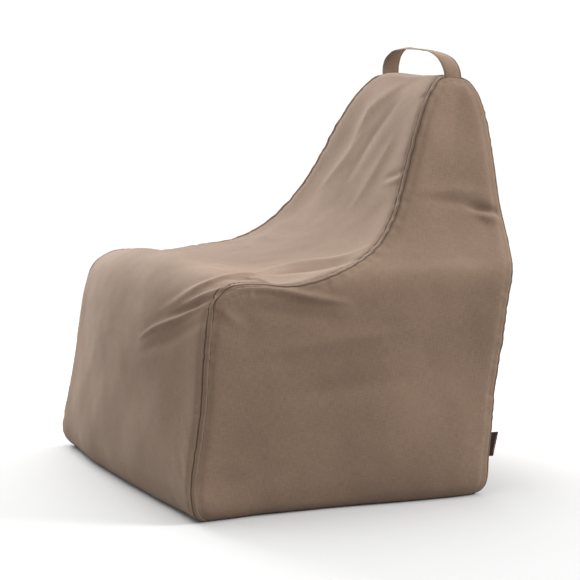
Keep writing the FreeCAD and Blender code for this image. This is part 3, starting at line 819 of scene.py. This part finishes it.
def on_surface(points, height=0.0):
    """The places on the cover nearest to the points, raised above it, and the cover's normals there."""
    found = [surface.find_nearest(p)[0] for p in points.tolist()]
    spots = np.array([f[:] for f in found])
    index, _ = bag_near.find(spots)
    out = bag_normals[index]
    return spots + out * height, out


def seam_line(sign):
    """A side's seam from the front foot over the top to the rear foot, as a smooth, even line."""
    points = seam_points(bag, ("right_side_panel" if sign > 0 else "left_side_panel",))
    order = {}
    for name in WRAPS:
        k = bag.names.index(name)
        flat, own = bag.flats[k], bag.own[k]
        for i in np.flatnonzero(np.isin(own, points) & (np.sign(flat[:, 0]) == sign)):
            order[own[i]] = flat[i, 1]
    return bag.places[sorted(order, key=order.get)]


def even(points, step):
    along = arc_lengths(points)
    count = max(2, round(along[-1] / step))
    at = np.linspace(0, along[-1], count + 1)
    return np.stack([np.interp(at, along, c) for c in points.T], axis=1), at


# Across the felled seam, in mm: how far from the side panel, and how high.
SEAM_SECTION = [(-2.2, -0.6), (-1.6, 0.3), (-0.6, 0.2), (0.5, -0.5), (1.4, 1.2), (2.8, 2.0), (5.5, 2.4),
                (9.0, 2.3), (11.0, 1.5), (12.2, -0.4), (14.2, -0.4), (15.4, 1.0), (17.0, 0.9), (18.6, -0.6)]
# The places in that section of its two grooves, and how proud the stitches in them stand.
SEAM_GROOVES = ((3, 1.5 * MM), (10, 0.8 * MM))
SEAM_STEP = 4 * MM
SEAM_END = 6 * MM              # the felled seam stops this short of the floor


def seam_frame(line, sign):
    """Along a side's seam: the cover's normal and the way into the centre panel."""
    tangent = unit(np.gradient(line, axis=0))
    _, out = on_surface(line)
    out = unit(out - np.sum(out * tangent, axis=1)[:, None] * tangent)
    for _ in range(3):
        out[1:-1] = unit(out[:-2] + 2 * out[1:-1] + out[2:])
    across = np.cross(tangent, out)
    return out, across * -np.sign(np.sum(across[:, 0] * sign))


def felled_seam(sign):
    """A side's raised, felled seam: rows of places along it, their flat places, and the normals."""
    line, at = even(seam_line(sign), SEAM_STEP)
    line[1:-1] = 0.25 * line[:-2] + 0.5 * line[1:-1] + 0.25 * line[2:]
    out, inward = seam_frame(line, sign)
    keep = (at >= SEAM_END) & (at <= at[-1] - SEAM_END)
    rows, uvs = [], []
    y, z = line[:, 1], line[:, 2]
    # Down the front the seam has rolled on to the side, and at the seat's front corner off it.
    aside = 10 * MM * bump(y, -0.265, 0.075) * rise(z, 0.42, 0.455)
    aside -= 11 * MM * rise(-y, 0.30, 0.345) * (1 - rise(z, 0.38, 0.445))
    for u, height in SEAM_SECTION:
        aimed = line[keep] + inward[keep] * (u * MM + aside[keep])[:, None]
        spot, normal = on_surface(aimed)
        raised = spot + normal * height * MM
        raised[:, 2] = np.maximum(raised[:, 2], OFF_FLOOR)
        rows.append(raised)
        uvs.append(np.stack([at[keep], np.full(keep.sum(), u * MM)], axis=1))
    return np.array(rows), np.array(uvs), out[keep]


def grid_triangles(index, following):
    """Triangles between rows of points and the rows that follow them."""
    a, b, c, d = index[:, :-1], following[:, :-1], following[:, 1:], index[:, 1:]
    return np.vstack([np.stack(three, axis=-1).reshape(-1, 3) for three in ((a, b, c), (a, c, d))])


def facing(places, faces, tested, out):
    """The faces, all turned if the tested one doesn't face out."""
    a, b, c = places[faces[tested]]
    return faces[:, ::-1] if np.cross(b - a, c - a) @ out < 0 else faces


def ribbon(rows, uvs, out):
    """A strip over rows of places, closed underneath and at its ends."""
    across, along = rows.shape[:2]
    index = np.arange(across * along).reshape(across, along)
    faces = grid_triangles(index[:-1], index[1:])
    low_a, low_b = index[0], index[-1]
    under = np.vstack([np.stack([low_a[:-1], low_a[1:], low_b[1:]], axis=1),
                       np.stack([low_a[:-1], low_b[1:], low_b[:-1]], axis=1)])
    ends = []
    for rim, turn in ((index[:, 0], 1), (index[:, -1], 0)):
        for i in range(1, across - 1):
            ends.append((rim[0], rim[i + turn], rim[i + 1 - turn]))
    places, uv = rows.reshape(-1, 3), uvs.reshape(-1, 2)
    faces = np.vstack([faces, under, ends])
    on_crest = (across // 2) * (along - 1)
    return places, facing(places, faces, on_crest, out[0]), uv


# ---------------------------------------------------------------- stitches and teeth


def repeated(name, spots, tangents, outs, length, width, height, material):
    """One mesh of a small rounded shape at every spot, lying along its tangent."""
    mesh = bpy.data.meshes.new(name + "_spots")
    mesh.from_pydata(np.asarray(spots).tolist(), [], [])
    for label, values in (("along", tangents), ("out", outs)):
        made = mesh.attributes.new(label, "FLOAT_VECTOR", "POINT")
        made.data.foreach_set("vector", np.asarray(values, np.float32).ravel())
    obj = bpy.data.objects.new(name + "_spots", mesh)
    bpy.context.collection.objects.link(obj)
    tree = bpy.data.node_groups.new(name + "_tree", "GeometryNodeTree")
    sockets = {}
    tree.interface.new_socket("Geometry", in_out="INPUT", socket_type="NodeSocketGeometry")
    for label in ("Length", "Width", "Height"):
        sockets[label] = tree.interface.new_socket(label, in_out="INPUT", socket_type="NodeSocketFloat")
    sockets["Material"] = tree.interface.new_socket("Material", in_out="INPUT",
                                                    socket_type="NodeSocketMaterial")
    tree.interface.new_socket("Geometry", in_out="OUTPUT", socket_type="NodeSocketGeometry")
    given = node(tree, "NodeGroupInput")
    ball = node(tree, "GeometryNodeMeshUVSphere", {"Segments": 6, "Rings": 4, "Radius": 0.5})
    size = node(tree, "ShaderNodeCombineXYZ", {"X": given.outputs["Height"], "Y": given.outputs["Width"],
                                               "Z": given.outputs["Length"]})
    shape = node(tree, "GeometryNodeTransform", {"Geometry": ball.outputs["Mesh"],
                                                 "Scale": size.outputs["Vector"]})
    along = node(tree, "GeometryNodeInputNamedAttribute", {"Name": "along"}, data_type="FLOAT_VECTOR")
    out = node(tree, "GeometryNodeInputNamedAttribute", {"Name": "out"}, data_type="FLOAT_VECTOR")
    turn = node(tree, "FunctionNodeAxesToRotation", {"Primary Axis": along.outputs["Attribute"],
                                                     "Secondary Axis": out.outputs["Attribute"]},
                primary_axis="Z", secondary_axis="X")
    copies = node(tree, "GeometryNodeInstanceOnPoints", {
        "Points": given.outputs["Geometry"], "Instance": shape.outputs["Geometry"],
        "Rotation": turn.outputs["Rotation"]})
    real = node(tree, "GeometryNodeRealizeInstances", {"Geometry": copies.outputs["Instances"]})
    smooth = node(tree, "GeometryNodeSetShadeSmooth", {"Geometry": real.outputs["Geometry"]})
    coloured = node(tree, "GeometryNodeSetMaterial", {"Geometry": smooth.outputs["Geometry"],
                                                      "Material": given.outputs["Material"]})
    node(tree, "NodeGroupOutput", {"Geometry": coloured.outputs["Geometry"]})
    modifier = obj.modifiers.new("repeat", "NODES")
    modifier.node_group = tree
    for label, value in (("Length", length), ("Width", width), ("Height", height), ("Material", material)):
        modifier[sockets[label].identifier] = value
    bpy.context.view_layer.update()
    made = bpy.data.meshes.new_from_object(obj.evaluated_get(bpy.context.evaluated_depsgraph_get()))
    bpy.data.objects.remove(obj)
    result = bpy.data.objects.new(name, made)
    made.name = name
    bpy.context.collection.objects.link(result)
    return result


STITCH_PITCH = 4.2 * MM
# Length, width and height. The holes' near-black spots of painted shadow are drawn wider than a needle's
# hole, so that they show.
STITCH_SIZE = (3.1 * MM, 1.0 * MM, 0.8 * MM)
HOLE_SHADE_SIZE = (2.5 * MM, 2.5 * MM, 0.75 * MM)


def stitch_row(line, outs, proud):
    """Spots, tangents and normals of a row of stitches along a line that lies on the cloth."""
    along = arc_lengths(line)
    at = np.arange(0.5 * STITCH_PITCH, along[-1], STITCH_PITCH)
    spots = np.stack([np.interp(at, along, c) for c in line.T], axis=1)
    outs = unit(np.stack([np.interp(at, along, c) for c in outs.T], axis=1))
    tangent = unit(np.gradient(line, axis=0))
    tangent = unit(np.stack([np.interp(at, along, c) for c in tangent.T], axis=1))
    return spots + outs * proud, tangent, outs


class Rows:
    """Rows of stitches gathered to become one mesh."""

    def __init__(self):
        self.rows = []

    def add(self, line, outs, proud):
        self.rows.append(stitch_row(line, outs, proud))

    def build(self, name):
        """The stitches, and with them near-black spots of painted shadow for the needle's holes at their
        ends, as two meshes.
        """
        spots, tangents, outs = (np.vstack(c) for c in zip(*self.rows))
        ends = spots + tangents * (STITCH_PITCH / 2)
        return (repeated(name, spots, tangents, outs, *STITCH_SIZE, THREAD),
                repeated(name + "_hole_shade", ends, tangents, outs, *HOLE_SHADE_SIZE, HOLE_SHADE))


# ---------------------------------------------------------------- the cover's panels

CLOTH = 1.2 * MM
BASE_CLOTH = 1.0 * MM
cover_stitches = Rows()
ribbons = []
for sign in (1, -1):
    rows, uvs, out = felled_seam(sign)
    ribbons.append(ribbon(rows, uvs, out))
    for k, proud in SEAM_GROOVES:
        cover_stitches.add(rows[k], out, proud)

for k, name in enumerate(bag.names):
    own = bag.own[k]
    inner = bag.places[own] - bag_normals[own] * CLOTH
    inner[:, 2] = np.maximum(inner[:, 2], BASE_CLOTH if name == "base_panel" else OFF_FLOOR)
    parts = [shell(bag.places[own], inner, bag.loose_faces[k], bag.flats[k])]
    if name == "centre_panel":
        parts += ribbons
    places, faces, uv = joined(parts)
    made = piece(name + "_cloth", places, faces, COVER_CLOTH, uv)
    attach(made, "bag")
    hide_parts(name)

for obj in cover_stitches.build("cover_stitching"):
    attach(obj, "bag")


# ---------------------------------------------------------------- the handle

STRAP_WIDTH = 43 * MM
STRAP_THICK = 2.6 * MM
STRAP_Y = 331 * MM
STRAP_GROOVES = (2, 7)         # the places in its section where it is stitched
# The strap's middle line, left to right: x, how far back it lies, z, and how far it tips, in mm.
STRAP_LINE = [
    (-158, 0, 868, 0), (-159, 0, 884, 0), (-160, 1, 903, 1), (-151, 4, 926, 3), (-126, 7, 942.5, 3),
    (-84, 6, 945, 1), (-30, 3, 944.5, -1), (30, 1, 943, -2), (84, 0, 937, -2), (124, 0, 924, -1),
    (149, 0, 903, 0), (157, 0, 884, 0), (157, 0, 868, 0),
]


def strap_section():
    """A strap's section, as (across, up): rounded edges, a stitched groove by each, a thinner middle."""
    half, thick = STRAP_WIDTH / 2, STRAP_THICK / 2
    left = [(-half + 0.5 * MM, 0.7 * thick), (-half + 2.2 * MM, 1.08 * thick),
            (-half + 3.4 * MM, 0.62 * thick), (-half + 5.0 * MM, thick), (-half * 0.3, 0.9 * thick)]
    up = left + [(-u, v) for u, v in reversed(left)]
    down = [(u, -v) for u, v in reversed(up)]
    return up + [(half, 0)] + down + [(-half, 0)]


def strap():
    """The strap and its stitches. Its edges wave a little, and it cups across its width."""
    line = smooth_line(np.array(STRAP_LINE) * MM, 2.5 * MM)
    middle = np.stack([line[:, 0], STRAP_Y + line[:, 1], line[:, 2]], axis=1)
    tangent = unit(np.gradient(middle, axis=0))
    across = np.stack([0 * line[:, 3], np.full(len(line), STRAP_WIDTH), 3 * line[:, 3]], axis=1)
    across = unit(across - np.sum(across * tangent, axis=1)[:, None] * tangent)
    out = np.cross(across, tangent)
    out *= np.sign(out[len(out) // 2, 2])
    along = arc_lengths(middle)
    wave = 0.5 * MM * np.sin(along / 0.031) + 0.35 * MM * np.sin(along / 0.0173 + 1)
    rows, uvs = [], []
    for u, v in strap_section():
        cup = -1.2 * MM * (u / STRAP_WIDTH * 2) ** 2 + wave * (u / STRAP_WIDTH)
        rows.append(middle + across * u + out * (v + cup)[:, None])
        uvs.append(np.stack([along, np.full(len(along), u)], axis=1))
    ring, length = len(rows), len(middle)
    places, uv = np.array(rows).reshape(-1, 3), np.array(uvs).reshape(-1, 2)
    index = np.arange(ring * length).reshape(ring, length)
    following = np.roll(index, -1, axis=0)
    faces = grid_triangles(index, following)
    for end, order in ((0, [0, 1, 2]), (-1, [0, 2, 1])):
        heart = len(places)
        places = np.vstack([places, middle[end]])
        uv = np.vstack([uv, uv[index[0, end]]])
        cap = np.stack([np.full(ring, heart), index[:, end], following[:, end]], axis=1)
        faces = np.vstack([faces, cap[:, order]])
    on_top = 4 * (length - 1) + length // 2
    faces = facing(places, faces, on_top, out[length // 2])
    stitches = Rows()
    for row in STRAP_GROOVES:
        stitches.add(np.array(rows[row]), out, 0.15 * MM)
    return piece("handle_strap_cloth", places, faces, STRAP_CLOTH, uv), stitches.build("handle_stitching")


handle, handle_stitches = strap()
for obj in (handle, *handle_stitches):
    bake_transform(obj)
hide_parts("handle_strap")


def flat_piece(low, high, step, place, thickness):
    """A rectangle of cloth, its corners at low and high in the two numbers that place takes."""
    counts = [max(2, int(round((b - a) / step))) for a, b in zip(low, high)]
    u, v = np.meshgrid(*(np.linspace(a, b, n + 1) for a, b, n in zip(low, high, counts)), indexing="ij")
    flat = np.stack([u.ravel(), v.ravel()], axis=1)
    index = np.arange(len(flat)).reshape(u.shape)
    faces = grid_triangles(index[:-1], index[1:])
    places, out = place(flat)
    faces = facing(places, faces, 0, out[faces[0, 0]])
    return shell(places, places - out * thickness, faces, flat)


UNDER_COVER = 1.4 * MM
for side in ("left", "right"):
    low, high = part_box("handle_patch_" + side)

    def under_cover(flat, top=high.z):
        return on_surface(np.column_stack([flat, np.full(len(flat), top)]), -UNDER_COVER)

    places, faces, uv = flat_piece((low.x, low.y), (high.x, high.y), 4 * MM, under_cover, 1 * MM)
    patch = piece("handle_patch_" + side + "_cloth", places, faces, COVER_CLOTH, uv)
    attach(patch, "bag")
    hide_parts("handle_patch_" + side)

# ---------------------------------------------------------------- the label

LABEL_X = 0.4265
LABEL_IN, LABEL_OUT = 0.266, 0.299          # from inside the seam to its free edge, along y
LABEL_FOOT, LABEL_MIDDLE, LABEL_HEAD = 0.079, 0.105, 0.131
BAND_Y, BAND_HALF = 0.2965, 0.9 * MM
BAND_SHORT = 7.5 * MM                       # the band stops this short of the label's ends


def label_place(flat):
    """The label's sheet, standing out of the rear seam, bowed across and leaning as the seam does."""
    y, z = flat.T
    bow = 4 * MM * ((y - 0.285) / 0.03) ** 2
    ripple = 0.6 * MM * np.sin(z * 90)
    lean = 0.21 * (z - LABEL_MIDDLE)
    return np.stack([LABEL_X + bow - ripple, y + lean, z], axis=1), np.tile((1.0, 0, 0), (len(flat), 1))


places, faces, uv = flat_piece((LABEL_IN, LABEL_FOOT), (LABEL_OUT, LABEL_HEAD), 1.5 * MM, label_place,
                               1.0 * MM)
label = piece("label_cloth", places, faces, LABEL_CLOTH, uv)
label.data.materials.append(LABEL_BAND)
middle = uv[faces].mean(axis=1)
band = ((np.abs(middle[:, 0] - BAND_Y) < BAND_HALF) & (middle[:, 1] > LABEL_FOOT + BAND_SHORT)
        & (middle[:, 1] < LABEL_HEAD - BAND_SHORT))
label.data.polygons.foreach_set("material_index", band.astype(np.int32))
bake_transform(label)
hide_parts("label_tab")

# ---------------------------------------------------------------- zips


def rear_point(x, n, w):
    """Places from the rear panel's own axes."""
    x, n, w = np.broadcast_arrays(x, n, w)
    return (np.stack([x, np.full(x.shape, REAR_FOOT_Y), 0 * x], axis=-1)
            + n[..., None] * REAR_N + w[..., None] * REAR_W)


# A zip's tapes and coils, measured from its middle line.
TAPE_IN, TAPE_OUT = 0.2 * MM, 15.1 * MM
TAPE_SPARE = 15 * MM
TAPE_THICK = 0.8 * MM
COIL_PITCH = 2.0 * MM
COIL_SHORT = 4.5 * MM
COIL_OFF = 1.35 * MM
COIL_SIZE = (3.6 * MM, 1.25 * MM, 1.9 * MM)


def zip_parts(prefix, rise_at, half, face, tape_cloth, coil_finish):
    """A zip's two tapes and two rows of teeth, face being how deep the tapes' outer face lies."""
    for side, sign in (("upper", 1), ("lower", -1)):
        low, high = rise_at + sign * TAPE_IN, rise_at + sign * TAPE_OUT

        def tape_place(flat):
            spots = rear_point(flat[:, 0], face, flat[:, 1])
            return spots, np.tile(REAR_N, (len(flat), 1))

        end = half + TAPE_SPARE
        places, faces, uv = flat_piece((-end, min(low, high)), (end, max(low, high)), 4 * MM, tape_place,
                                       TAPE_THICK)
        tape = piece(prefix + side + "_tape_cloth", places, faces, tape_cloth, uv)
        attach(tape, "bag")
        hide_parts(prefix + side + "_tape")
        x = np.arange(-half + COIL_SHORT, half - COIL_SHORT, COIL_PITCH)
        if sign > 0:
            x = x + 0.5 * COIL_PITCH
        spots = rear_point(x, face - 0.5 * TAPE_THICK, rise_at + sign * COIL_OFF)
        teeth = repeated(prefix + side + "_teeth", spots, np.tile(REAR_W, (len(x), 1)),
                         np.tile(REAR_N, (len(x), 1)), *COIL_SIZE, coil_finish)
        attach(teeth, "bag")
        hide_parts(prefix + side + "_coil")


LINER_ZIP_RISE = 330 * MM
LINER_ZIP_HALF = 200 * MM
COVER_ZIP_FACE, LINER_ZIP_FACE = -1.2 * MM, -5.6 * MM
zip_parts("cover_zip_", ZIP_RISE, ZIP_HALF, COVER_ZIP_FACE, ZIP_TAPE, COIL)
zip_parts("liner_zip_", LINER_ZIP_RISE, LINER_ZIP_HALF, LINER_ZIP_FACE, LINER_TAPE, LINER_COIL)
for name in ("cover_zip_stops", "cover_zip_slider", "cover_zip_pull_ring", "cover_zip_pull_tab",
             "liner_zip_stops", "liner_zip_slider"):
    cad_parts[name].data.materials.clear()
    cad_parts[name].data.materials.append(ZIP_METAL)

# The rows of stitches that hold the cover's zip: two along each tape and one across each end.
ZIP_ROWS = (9.2 * MM, 13 * MM)
ON_CLOTH = 0.1 * MM
lines = []
for sign in (1, -1):
    x = np.linspace(-ZIP_HALF - 4 * MM, ZIP_HALF + 4 * MM, 150)
    for away in ZIP_ROWS:
        lines.append(rear_point(x, ON_CLOTH, ZIP_RISE + sign * away))
for x in (-ZIP_HALF - 5 * MM, ZIP_HALF + 5 * MM):
    lines.append(rear_point(x, ON_CLOTH, np.linspace(ZIP_RISE - ZIP_ROWS[1], ZIP_RISE + ZIP_ROWS[1], 9)))
zip_stitches = Rows()
for line in lines:
    zip_stitches.add(line, np.tile(REAR_N, (len(line), 1)), 0.05 * MM)
for obj in zip_stitches.build("zip_stitching"):
    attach(obj, "bag")

# ---------------------------------------------------------------- what's inside

INSIDE_STEP = 9 * MM


def inset(made, depth, flat_depth, clearance, lowest):
    """The bag's places moved inward, less deep where the zips hold the layers together, and
    everywhere clear of the cover's folds."""
    flat = held_flat(made.places)
    places = made.places - made.normals() * (depth + flat * (flat_depth - depth))[:, None]
    spots, out = on_surface(places)
    gap = np.sum((spots - places) * out, axis=1)
    short = np.maximum(clearance - gap, 0) * (1 - flat)
    places = places - out * short[:, None]
    places[:, 2] = np.maximum(places[:, 2], lowest)
    return places


LINER_CLOTH_THICK = 0.8 * MM
LINER_FLOOR = 2.2 * MM
liner = formed_bag(INSIDE_STEP, LINER_ZIP_RISE, LINER_ZIP_HALF)
outer = inset(liner, depth=9.5 * MM, flat_depth=4.8 * MM, clearance=5 * MM, lowest=LINER_FLOOR)
thin = outer - liner.normals() * LINER_CLOTH_THICK
thin[:, 2] = np.maximum(thin[:, 2], LINER_FLOOR + LINER_CLOTH_THICK)
LINER_PANELS = {
    "liner_centre_panel": ["centre_panel"],
    "liner_rear_panel": ["rear_panel_upper", "rear_panel_lower"],
    "liner_base_panel": ["base_panel"],
    "liner_left_side_panel": ["left_side_panel"],
    "liner_right_side_panel": ["right_side_panel"],
}
for panel_name, members in LINER_PANELS.items():
    parts = []
    for member in members:
        k = liner.names.index(member)
        own = liner.own[k]
        parts.append(shell(outer[own], thin[own], liner.loose_faces[k], liner.flats[k]))
    places, faces, uv = joined(parts)
    made = piece(panel_name + "_cloth", places, faces, LINER_CLOTH, uv)
    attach(made, "bag")
    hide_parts(panel_name)

fill = formed_bag(INSIDE_STEP, ZIP_RISE, 0)
fill_places = inset(fill, depth=16 * MM, flat_depth=11 * MM, clearance=10 * MM, lowest=5 * MM)
beads = piece("bead_filling", fill_places, fill.faces, BEADS)
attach(beads, "bag")
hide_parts("bead_fill")

# ---------------------------------------------------------------- studio

FLOOR = 2.4                    # half its side
floor = bpy.data.meshes.new("floor")
floor.from_pydata([(-FLOOR, -FLOOR, 0), (FLOOR, -FLOOR, 0), (FLOOR, FLOOR, 0), (-FLOOR, FLOOR, 0)], [],
                  [(0, 1, 2, 3)])
floor_object = bpy.data.objects.new("floor", floor)
bpy.context.collection.objects.link(floor_object)
floor.materials.append(plain("pale_grey_studio_floor", "#AEAEAE", 0.9))
floor_object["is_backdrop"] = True

world = bpy.data.worlds.new("studio")
bpy.context.scene.world = world
world.use_nodes = True
# White behind the bag and a little dimmer in the room before its near front corner.
tree, background = world.node_tree, world.node_tree.nodes["Background"]
around = node(tree, "ShaderNodeTexCoord")
towards = node(tree, "ShaderNodeVectorMath", {0: around.outputs["Generated"], 1: (0.80, -0.60, 0)},
               operation="DOT_PRODUCT")
white = node(tree, "ShaderNodeMapRange", {"Value": towards.outputs["Value"], "From Min": 0.1, "From Max": 0.9,
                                          "To Min": 1.05, "To Max": 0.80}, interpolation_type="SMOOTHSTEP")
tree.links.new(white.outputs["Result"], background.inputs["Strength"])
background.inputs["Color"].default_value = (1, 1, 1, 1)
bpy.context.scene.view_settings.view_transform = "Standard"


def soft_light(name, place, size, power, target=(0, 0, 0.4)):
    data = bpy.data.lights.new(name, "AREA")
    data.shape = "RECTANGLE"
    data.size, data.size_y = size
    data.energy = power
    obj = bpy.data.objects.new(name, data)
    bpy.context.collection.objects.link(obj)
    obj.location = place
    obj.rotation_euler = (Vector(target) - Vector(place)).to_track_quat("-Z", "Y").to_euler()


soft_light("overhead", (-1.7, -0.3, 4.2), (5.0, 5.0), 235)
soft_light("left", (-4.2, -0.65, 2.1), (1.8, 1.8), 215)
soft_light("right", (1.7, 3.6, 2.5), (1.6, 1.6), 235)

# ---------------------------------------------------------------- bounds

low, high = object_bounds()
